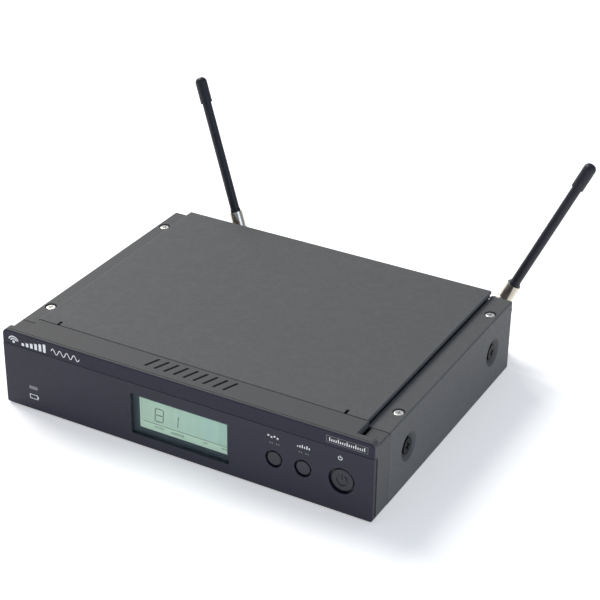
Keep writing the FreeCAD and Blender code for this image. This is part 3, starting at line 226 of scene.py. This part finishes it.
def powder_coat(name, colour):
    """Baked powder paint: fine speckle over faint orange peel, with a painted highlight along the cover's
    long edges.
    """
    made = Shader(name, colour, 0.6, Specular_IOR_Level=0.25)
    broad = made.mottled(colour, made.noise(60, 2), 0.985, 1.015)
    speckle = made.mottled(colour, made.noise(950, 3, 0.7), 0.62, 1.38)
    grain = made.mottled(colour, made.noise(4200, 2), 0.70, 1.30)
    blotches = made.mottled(colour, made.noise(330, 2, 0.5), 0.93, 1.07)
    blended = made.mix(0.4, made.mix(0.5, broad, speckle), grain)
    blended = made.mix(0.35, blended, blotches)
    # Painted highlight: a pale band along the cover's rounded long edges, where they catch the light.
    edge_highlight = made.product(made.slab("X", 0.0871, 0.0879, -0.0008), made.slab("Z", 0.0396, 0.0410))
    blended = made.mix(made.product(edge_highlight, 0.6), blended, shade(colour, 1.3))
    made.colour(made.worn_edges(blended, shade(colour, 1.35), 0.35))
    made.roughness(made.between(made.noise(900, 3), 0.58, 0.70))
    made.bump(made.noise(2600, 2, 0.6), 0.00003, 0.5)
    return made.material


def moulded_plastic(name, colour, low, high, grain=3200, depth=0.00003):
    """Injection-moulded plastic with a spark-eroded grain."""
    made = Shader(name, colour, 0.5, Specular_IOR_Level=0.45)
    made.colour(made.worn_edges(made.mottled(colour, made.noise(24, 3), 0.92, 1.10), shade(colour, 1.8)))
    made.roughness(made.between(made.noise(1400, 3), low, high))
    made.bump(made.noise(grain, 2, 0.65), depth, 0.5)
    return made.material


def fascia_plastic(name, colour):
    """The face's smooth plastic, with polished rims round the three button holes."""
    rim_width, polish = 0.6, -0.36
    made = Shader(name, colour, 0.5, Specular_IOR_Level=0.40)
    made.colour(made.worn_edges(made.mottled(colour, made.noise(24, 3), 0.94, 1.08), shade(colour, 1.6)))
    rims = [
        made.round_band(x * MM, BUTTON_Z * MM, radius * MM, rim_width * MM)
        for x, radius in BUTTON_HOLES
    ]
    satin = made.between(made.noise(1400, 3), 0.46, 0.56)
    made.roughness(made.compute("ADD", satin, made.product(made.greatest(*rims), polish)))
    made.bump(made.noise(2200, 2, 0.65), 0.00001, 0.5)
    return made.material


def bezel_plastic(name, deck, face, surround):
    """The front moulding: deck colour on top and at the sides, the face's darker colour on the front rim,
    a blue-grey wall round the display, and painted shade, near black, in the two trenches beside the deck
    and its rear joint."""
    made = Shader(name, deck, 0.6, Specular_IOR_Level=0.25)
    depth, height = made.axis("Y"), made.axis("Z")
    # Each region is 1 inside its limits, which are in metres, and 0 outside.
    rim = made.fall(depth, -0.0749, 0.0005)
    wall = made.product(
        made.fall(made.compute("ABSOLUTE", made.axis("X")), 0.0965, 0.0003),
        made.fall(depth, -0.0690, 0.0005),
        made.fall(height, 0.0332, 0.0002),
    )
    round_display = made.product(wall, made.slab("X", 0.0, 0.0275))
    below_deck = made.slab("Z", 0.0, 0.0377)
    # Painted shade: masks for the trenches beside the deck and the joint at its rear, where shadow falls.
    trench_shade = made.product(made.slab("X", 0.0876, 0.0898), made.slab("Y", 0.0, 0.0742), below_deck)
    seam_shade = made.product(
        made.slab("Y", 0.0596, 0.0604, soft=0.00005),
        made.rise(height, 0.0366, 0.0002),
        below_deck,
    )
    top = made.mottled(deck, made.noise(1100, 3), 0.90, 1.10)
    front = made.mottled(face, made.noise(1100, 3), 0.92, 1.08)
    painted = made.mix(round_display, made.mix(made.greatest(rim, wall), top, front), surround)
    # Painted shade: the trenches and the rear joint are coloured near black in place of the shadow in
    # them.
    made.colour(made.mix(made.greatest(trench_shade, seam_shade), painted, (0.004, 0.004, 0.004)))
    made.roughness(made.between(made.noise(1400, 3), 0.55, 0.68))
    made.bump(made.noise(3000, 2, 0.65), 0.00003, 0.5)
    return made.material


def gloss_plastic(name, colour, roughness):
    """Smooth plastic with faint rub marks."""
    made = Shader(name, colour, roughness, Specular_IOR_Level=0.5)
    rubbed = made.noise(120, 6, 0.7, along=(1, 1, 6))
    made.colour(made.mottled(colour, rubbed, 0.9, 1.25))
    made.roughness(made.between(rubbed, roughness * 0.75, roughness * 1.6))
    made.bump(made.noise(600, 2), 0.00001, 0.3)
    return made.material


def plated_metal(name, colour, low, high, along=(1, 1, 1)):
    """Plated or turned metal: fine tool marks, small stains and a soft sheen."""
    made = Shader(name, colour, 0.25, metallic=1.0)
    made.colour(made.mottled(colour, made.noise(420, 5, 0.6), 0.90, 1.0))
    tooling = made.noise(900, 4, 0.6, along=along)
    made.roughness(made.between(tooling, low, high))
    made.bump(tooling, 0.000006, 0.35)
    return made.material


def nickel_plate(name, bright, warm):
    """Bright nickel: plain on the screws, warmer and more polished on the antennas' turned parts, which
    are behind the rear panel."""
    rear, soft = 0.0765, 0.0005
    made = Shader(name, bright, 0.2, metallic=1.0)
    stains = made.noise(420, 5, 0.6)
    depth = made.axis("Y")
    plain, turned = made.mottled(bright, stains, 0.92, 1.0), made.mottled(warm, stains, 0.85, 1.0)
    made.colour(made.mix(made.rise(depth, rear, soft), plain, turned))
    tooling = made.noise(900, 4, 0.6)
    duller = made.between(depth, 0.22, 0.0, start=rear, end=rear + soft)
    made.roughness(made.compute("ADD", made.between(tooling, 0.12, 0.24), duller))
    made.bump(tooling, 0.000006, 0.15)
    return made.material


def black_oxide(name):
    """Blackened steel with a low sheen and faint wear."""
    made = Shader(name, (0.012, 0.012, 0.014), 0.3, Specular_IOR_Level=0.03)
    worn = made.noise(700, 4, 0.6)
    made.colour(made.mix(made.between(worn, 0, 1), (0.004, 0.004, 0.005), (0.014, 0.014, 0.016)))
    made.roughness(made.between(worn, 0.22, 0.36))
    made.bump(worn, 0.00001, 0.3)
    return made.material


def sleeve_rubber(name, colour):
    """Satin flexible sleeve with fine draw lines along it."""
    made = Shader(name, colour, 0.42, Specular_IOR_Level=0.36)
    lines = made.noise(700, 4, 0.6, along=(1, 1, 0.12))
    made.colour(made.mottled(colour, lines, 0.8, 1.35))
    made.roughness(made.between(made.noise(160, 4), 0.36, 0.52))
    made.bump(lines, 0.00002, 0.4)
    return made.material


def circuit_board(name):
    """Green solder mask with paler copper runs in rows, and small tinned pads."""
    mask, copper, tin = (0.012, 0.075, 0.035), (0.03, 0.16, 0.07), (0.62, 0.60, 0.55)
    made = Shader(name, mask, 0.3, Specular_IOR_Level=0.5)
    runs = made.add("ShaderNodeTexBrick")
    sizes = {"Scale": 260.0, "Mortar Size": 0.012, "Brick Width": 1.7, "Row Height": 0.33}
    for socket, value in sizes.items():
        runs.inputs[socket].default_value = value
    made.link(made.place, runs.inputs["Vector"])
    traced = made.mix(runs.outputs["Fac"], mask, copper)
    made.colour(made.mix(made.fall(made.cells(300), 0.10, 0.04), traced, tin))
    made.roughness(made.between(made.noise(700, 3), 0.24, 0.4))
    made.bump(runs.outputs["Fac"], 0.00003, 0.5)
    return made.material


def display_face(name, pale, deep, band):
    """The display's green face: deeper toward the right, with a faint blue ghost there, a paler strip
    under the rule and bright edges where the light enters."""
    blue, lit_edge = (0.30, 0.47, 0.52), (0.62, 0.80, 0.70)
    middle_x, middle_z = 0.00015, 0.0168
    made = Shader(name, pale, 0.35, Specular_IOR_Level=0.2)
    across, up = made.axis("X"), made.axis("Z")
    ghost = made.product(made.rise(across, 0.008, 0.004), made.fall(across, 0.015, 0.004))
    strip = made.fall(up, 0.0121, 0.0002)
    sides = made.rise(made.off_centre(across, middle_x), 0.0233, 0.0005)
    ends = made.rise(made.off_centre(up, middle_z), 0.0080, 0.0005)
    ground = made.mix(made.rise(across, -0.024, 0.048), pale, deep)
    ground = made.mix(made.product(ghost, 0.2), ground, blue)
    ground = made.mix(made.product(strip, 0.7), ground, band)
    ground = made.mix(made.product(made.greatest(sides, ends), 0.6), ground, lit_edge)
    lines = made.noise(500, 2, 0.5, along=(1, 1, 0.05))
    ground = made.mix(made.between(lines, 0, 0.5), ground, shade(band, 0.93))
    made.colour(ground)
    made.link(ground, made.surface.inputs["Emission Color"])
    made.set("Emission Strength", 0.75)
    made.roughness(made.between(made.noise(2000, 2), 0.3, 0.42))
    return made.material


def clear_window(name):
    """Thin clear acrylic, faintly smoked."""
    made = Shader(name, (0.06, 0.09, 0.09), 0.06, Alpha=0.12, Specular_IOR_Level=0.12)
    made.roughness(made.between(made.noise(90, 5), 0.03, 0.12))
    return made.material


def white_ink(name, brightness):
    """Screen-printed ink, very slightly uneven."""
    colour = (brightness, brightness, brightness * 1.01)
    made = Shader(name, colour, 0.5)
    made.colour(made.mottled(colour, made.noise(1500, 3), 0.86, 1.0))
    made.roughness(made.between(made.noise(1100, 2), 0.45, 0.6))
    return made.material


def segment_ink(name, colour):
    """The darkened liquid of a display segment, a little uneven."""
    made = Shader(name, colour, 0.4)
    uneven = made.noise(1800, 3)
    made.colour(made.mottled(colour, uneven, 0.8, 1.3))
    made.roughness(made.between(uneven, 0.35, 0.5))
    return made.material


def build_materials():
    """One material for each of the record's slots: its kind of finish, then that finish's settings."""
    finishes = {
        "bezel_plastic": (
            bezel_plastic, (0.091, 0.090, 0.091), (0.029, 0.0285, 0.047), (0.080, 0.100, 0.125)),
        "fascia_plastic": (fascia_plastic, (0.0145, 0.0145, 0.032)),
        "window_clear": (clear_window,),
        "lcd_face": (display_face, (0.335, 0.465, 0.385), (0.29, 0.455, 0.39), (0.42, 0.57, 0.45)),
        "lamp_lens": (gloss_plastic, (0.20, 0.20, 0.23), 0.35),
        "button_plastic": (moulded_plastic, (0.024, 0.024, 0.034), 0.34, 0.48, 2600, 0.00001),
        "steel_painted": (powder_coat, (0.106, 0.106, 0.107)),
        "nickel": (nickel_plate, (0.88, 0.86, 0.82), (0.68, 0.62, 0.53)),
        "black_steel": (black_oxide,),
        "socket_plastic": (moulded_plastic, (0.022, 0.022, 0.025), 0.32, 0.46, 1800, 0.00002),
        "antenna_black": (sleeve_rubber, (0.018, 0.018, 0.026)),
        "gold": (plated_metal, (0.83, 0.61, 0.27), 0.15, 0.28),
        "insulator_white": (gloss_plastic, (0.78, 0.77, 0.72), 0.3),
        "board_green": (circuit_board,),
        "shield_tin": (plated_metal, (0.72, 0.72, 0.70), 0.22, 0.4, (1, 5, 1)),
        "aluminium": (plated_metal, (0.66, 0.67, 0.68), 0.28, 0.42, (1, 1, 8)),
        "black_part": (moulded_plastic, (0.018, 0.018, 0.019), 0.4, 0.6, 2400, 0.00002),
        "ribbon_grey": (moulded_plastic, (0.30, 0.30, 0.32), 0.4, 0.55, 1500),
        "coax_black": (sleeve_rubber, (0.02, 0.02, 0.022)),
        "light_guide": (gloss_plastic, (0.70, 0.75, 0.68), 0.3),
    }
    return {slot: finish(slot, *settings) for slot, (finish, *settings) in finishes.items()}


def dress_cad_nodes(materials):
    """Gives each CAD node its slot's material."""
    slots = {row["node"]: row["material_slot"] for row in frame["record"]["subparts"]}
    for name, piece in NODES.items():
        piece.data.materials.clear()
        piece.data.materials.append(materials[slots[name]])


# ---------------------------------------------------------------- flat marks and segments

def arc(centre, radius, start, sweep, count):
    """Points along an arc, in degrees from +X toward +Z, both ends included."""
    x, z = centre
    turns = [math.radians(start + sweep * step / count) for step in range(count + 1)]
    return [(x + radius * math.cos(turn), z + radius * math.sin(turn)) for turn in turns]


def disc(centre, radius):
    """A filled circle."""
    return arc(centre, radius, 0, 360, 28)[:-1]


def arc_band(centre, radius, width, start, sweep):
    """A bent strip along an arc."""
    outer = arc(centre, radius + width / 2, start, sweep, 14)
    inner = arc(centre, radius - width / 2, start, sweep, 14)
    return outer + inner[::-1]


def bar(x, z, wide, tall):
    """An upright rectangle about a centre."""
    return [(x - wide / 2, z - tall / 2), (x + wide / 2, z - tall / 2),
            (x + wide / 2, z + tall / 2), (x - wide / 2, z + tall / 2)]


def bar_row(count, x, pitch, z, wide, tall):
    """Equal bars a pitch apart, the first of them about x."""
    return [bar(x + pitch * step, z, wide, tall) for step in range(count)]


def stroke(points, width):
    """A line of even width through points, as an outline."""
    left, right = [], []
    for step, (x, z) in enumerate(points):
        before, after = points[max(step - 1, 0)], points[min(step + 1, len(points) - 1)]
        run, rise = after[0] - before[0], after[1] - before[1]
        length = math.hypot(run, rise)
        across, along = -rise / length * width / 2, run / length * width / 2
        left.append((x + across, z + along))
        right.append((x - across, z - along))
    return left + right[::-1]


def wave(x, z, period, height, turns, width):
    """A sine wave drawn as one thin line, twelve points to a turn."""
    steps = range(turns * 12 + 1)
    return stroke([(x + period * s / 12, z + height * math.sin(math.pi * s / 6)) for s in steps], width)


def flat_piece(name, outlines, middle_y, depth, material, body="receiver"):
    """Thin solid shapes that face the front. Each outline is a list of (x, z) in millimetres, and an
    outline that lies inside another cuts a hole in it."""
    curve = bpy.data.curves.new(name, "CURVE")
    curve.dimensions = "2D"
    curve.fill_mode = "BOTH"
    curve.extrude = depth * MM / 2
    for outline in outlines:
        spline = curve.splines.new("POLY")
        spline.points.add(len(outline) - 1)
        for point, (x, z) in zip(spline.points, outline):
            point.co = (x * MM, z * MM, 0, 1)
        spline.use_cyclic_u = True
    shape = bpy.data.objects.new(name + "_outline", curve)
    bpy.context.scene.collection.objects.link(shape)
    mesh = bpy.data.meshes.new_from_object(shape)
    bpy.data.objects.remove(shape)
    stand_up = Matrix.Translation((0, middle_y * MM, 0)) @ Matrix.Rotation(math.radians(90), 4, "X")
    mesh.transform(stand_up)
    mesh.name = name
    clean = bmesh.new()
    clean.from_mesh(mesh)
    bmesh.ops.remove_doubles(clean, verts=clean.verts, dist=1e-7)
    bmesh.ops.recalc_face_normals(clean, faces=clean.faces)
    clean.to_mesh(mesh)
    clean.free()
    mesh.materials.clear()
    mesh.materials.append(material)
    piece = bpy.data.objects.new(name, mesh)
    bpy.context.scene.collection.objects.link(piece)
    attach(piece, body)


def on_face(name, outlines, material, proud=0.0):
    """Ink on the front face, or a little proud of the ink under it."""
    middle_y = FACE_Y - INK_DEPTH / 2 + INK_SUNK - proud
    flat_piece(name, outlines, middle_y, INK_DEPTH, material)


def build_name_marks(ink):
    """At the face's upper left, generic signs in place of words: a radio sign, rising bars and a wave."""
    mast = (-92.0, 35.2)
    radio = [disc(mast, 0.7)]
    radio += [arc_band(mast, radius, 0.6, 20, 140) for radius in (1.7, 2.85)]
    radio += [bar(-89.1 + 2.5 * step, 34.9 + 0.3 * step, 1.5, 0.8 + 0.6 * step) for step in range(1, 7)]
    on_face("radio_sign", radio, ink)
    on_face("wave_sign", [wave(-70.2, 36.6, 4.0, 1.35, 4, 0.42)], ink)


def build_battery_mark(ink):
    """An outlined battery with its terminal, under the lamp."""
    x, z = -82.3, 7.6
    on_face("battery_sign", [bar(x, z, 4.7, 2.5), bar(x, z, 4.0, 1.8), bar(x + 2.6, z, 0.45, 1.2)], ink)


def build_button_marks(ink, faint):
    """Dots, bars and a standby sign over the three buttons, with fainter dashes under the first two."""
    dots = [bar(46.6 + 1.55 * step, 28.6 + 0.3 * (-1) ** step, 0.85, 0.85) for step in range(4)]
    on_face("group_sign", dots, ink)
    heights = (0.7, 1.1, 1.6, 1.1, 1.8, 1.2)
    bars = [bar(61.3 + 1.15 * step, 27.6 + tall / 2, 0.55, tall) for step, tall in enumerate(heights)]
    on_face("channel_sign", bars, ink)
    on_face("power_sign", [arc_band((82.2, 28.8), 0.95, 0.34, 125, 290), bar(82.2, 29.5, 0.34, 1.1)], ink)
    dashes = [bar(first + 1.1 * step, 25.3, 0.5, 0.7) for first in (47.5, 62.1) for step in (0, 1, 3, 4)]
    on_face("range_signs", dashes, faint)


def build_scale_mark(ink, faint, dark):
    """A plain tick scale in a thin frame at the upper right: every fourth tick is long."""
    x, z = 85.3, 36.8
    on_face("scale_field", [bar(x, z, 19.6, 2.9)], dark)
    on_face("scale_frame", [bar(x, z, 20.2, 3.5), bar(x, z, 19.8, 3.1)], faint, proud=0.01)
    ticks = []
    for step in range(17):
        tall = 1.9 if step % 4 == 0 else 1.2
        ticks.append(bar(76.9 + 1.05 * step, 35.9 + tall / 2, 0.5, tall))
    on_face("scale_ticks", ticks, ink, proud=0.02)


def segment_digit(x, z, wide, tall, lit):
    """A seven-segment numeral: lit holds the segments' letters, from a at the top round to g."""
    half, reach = tall / 2, SEGMENT_WIDTH / 2

    def upright(dx, low):
        bottom, top = low + SEGMENT_SPLIT, low + half - SEGMENT_SPLIT
        left, right = x + dx - reach, x + dx + reach
        lean_bottom, lean_top = SEGMENT_LEAN * bottom / tall, SEGMENT_LEAN * top / tall
        return [(left + lean_bottom, z + bottom), (right + lean_bottom, z + bottom),
                (right + lean_top, z + top), (left + lean_top, z + top)]

    def level(height):
        lean, at = SEGMENT_LEAN * height / tall, z + height
        left, right = x + lean + SEGMENT_SPLIT, x + wide + lean - SEGMENT_SPLIT
        return [(left, at), (left + reach, at - reach), (right - reach, at - reach),
                (right, at), (right - reach, at + reach), (left + reach, at + reach)]

    segments = {
        "a": level(tall), "b": upright(wide, half), "c": upright(wide, 0), "d": level(0),
        "e": upright(0, 0), "f": upright(0, half), "g": level(half),
    }
    return [segments[letter] for letter in lit]


def build_display(ink, ghost):
    """Numerals, a rule and small unlit signs on the display's front."""
    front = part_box("lcd_panel")[0].y / MM
    middle_y = front - SEGMENT_AHEAD
    numerals = segment_digit(-15.6, 13.9, 4.4, 6.9, "abcdefg") + segment_digit(-7.6, 13.9, 4.4, 6.2, "bc")
    flat_piece("numerals", numerals, middle_y, SEGMENT_DEPTH, ink)
    flat_piece("display_rule", [bar(0.9, 12.1, 46.0, 0.22)], middle_y, SEGMENT_DEPTH, ink)
    signs = bar_row(6, -15.5, 0.9, 10.6, 0.45, 0.9)
    signs += bar_row(8, -6.5, 0.9, 10.2, 0.45, 1.2)
    signs += bar_row(3, 10.8, 0.8, 10.6, 0.35, 1.1)
    signs += bar_row(4, 20.4, 0.8, 10.7, 0.45, 0.8)
    flat_piece("unlit_signs", signs, middle_y, SEGMENT_DEPTH, ghost)


# ---------------------------------------------------------------- studio

def build_floor():
    """A wide pale floor that glows faintly, just under the object."""
    half_width, drop = 4.0, 0.0002
    mesh = bpy.data.meshes.new("floor")
    build = bmesh.new()
    bmesh.ops.create_grid(build, x_segments=8, y_segments=8, size=half_width)
    build.to_mesh(mesh)
    build.free()
    floor = bpy.data.objects.new("floor", mesh)
    floor.location = (0, 0, -drop)
    bpy.context.scene.collection.objects.link(floor)
    paint = Shader("floor_paint", (0.96, 0.96, 0.96), 0.9, Emission_Strength=0.40)
    paint.set("Emission Color", (1.0, 0.98, 0.95, 1.0))
    cloud = paint.noise(20, 3)
    paint.colour(paint.mix(paint.between(cloud, 0, 1), (0.95, 0.95, 0.95), (0.97, 0.97, 0.97)))
    paint.roughness(paint.between(cloud, 0.85, 0.95))
    mesh.materials.append(paint.material)


def build_sky():
    """Soft bluish light from all round."""
    world = bpy.data.worlds.new("studio")
    bpy.context.scene.world = world
    world.use_nodes = True
    background = world.node_tree.nodes["Background"]
    background.inputs["Color"].default_value = (0.76, 0.85, 1.0, 1.0)
    background.inputs["Strength"].default_value = 0.40


def add_light(name, direction, distance, size, power, colour):
    """A square soft box that looks at the object from a direction."""
    lamp = bpy.data.lights.new(name, "AREA")
    lamp.shape = "SQUARE"
    lamp.size = size
    lamp.energy = power
    lamp.color = colour
    holder = bpy.data.objects.new(name, lamp)
    toward = Vector(direction).normalized()
    holder.location = toward * distance
    holder.rotation_euler = toward.to_track_quat("Z", "Y").to_euler()
    bpy.context.scene.collection.objects.link(holder)


def build_lights():
    """A large warm key from the left rear, and a weaker blue fill from the right."""
    add_light("key", (-0.66, 0.30, 0.69), distance=3.0, size=1.45, power=84.0, colour=(1.0, 0.97, 0.91))
    add_light("side_fill", (0.93, -0.25, 0.30), distance=2.6, size=1.5, power=11.0,
              colour=(0.68, 0.82, 1.0))


def build_camera():
    """The camera stands to the right of the front and looks down on the cover."""
    turn, rise, roll = math.radians(28.643), math.radians(29.005), math.radians(0.817)
    distance, target = 0.789645, Vector((0.020457, -0.0002, 0.053218))
    back = Vector((math.sin(turn) * math.cos(rise), -math.cos(turn) * math.cos(rise), math.sin(rise)))
    across = Vector((0, 0, 1)).cross(back).normalized()
    up = back.cross(across)
    across, up = (
        math.cos(roll) * across + math.sin(roll) * up,
        math.cos(roll) * up - math.sin(roll) * across,
    )
    lens = bpy.data.cameras.new("camera")
    lens.sensor_width = 36.0
    lens.lens = 100.333
    lens.clip_start = 0.01
    camera = bpy.data.objects.new("camera", lens)
    place = target + back * distance
    camera.matrix_world = Matrix((
        (across.x, up.x, back.x, place.x),
        (across.y, up.y, back.y, place.y),
        (across.z, up.z, back.z, place.z),
        (0, 0, 0, 1),
    ))
    bpy.context.scene.collection.objects.link(camera)
    bpy.context.scene.camera = camera


def main():
    dress_cad_nodes(build_materials())
    dark = moulded_plastic("dark_ink", (0.012, 0.012, 0.017), 0.4, 0.5)
    ink, faint = white_ink("white_ink", 0.95), white_ink("faint_ink", 0.24)
    lit = segment_ink("segment_ink", (0.06, 0.12, 0.10))
    unlit = segment_ink("ghost_ink", (0.22, 0.36, 0.29))
    build_name_marks(ink)
    build_battery_mark(ink)
    build_button_marks(ink, faint)
    build_scale_mark(ink, faint, dark)
    build_display(lit, unlit)
    build_floor()
    build_sky()
    build_lights()
    build_camera()
    bpy.context.scene.view_settings.view_transform = "Standard"


main()
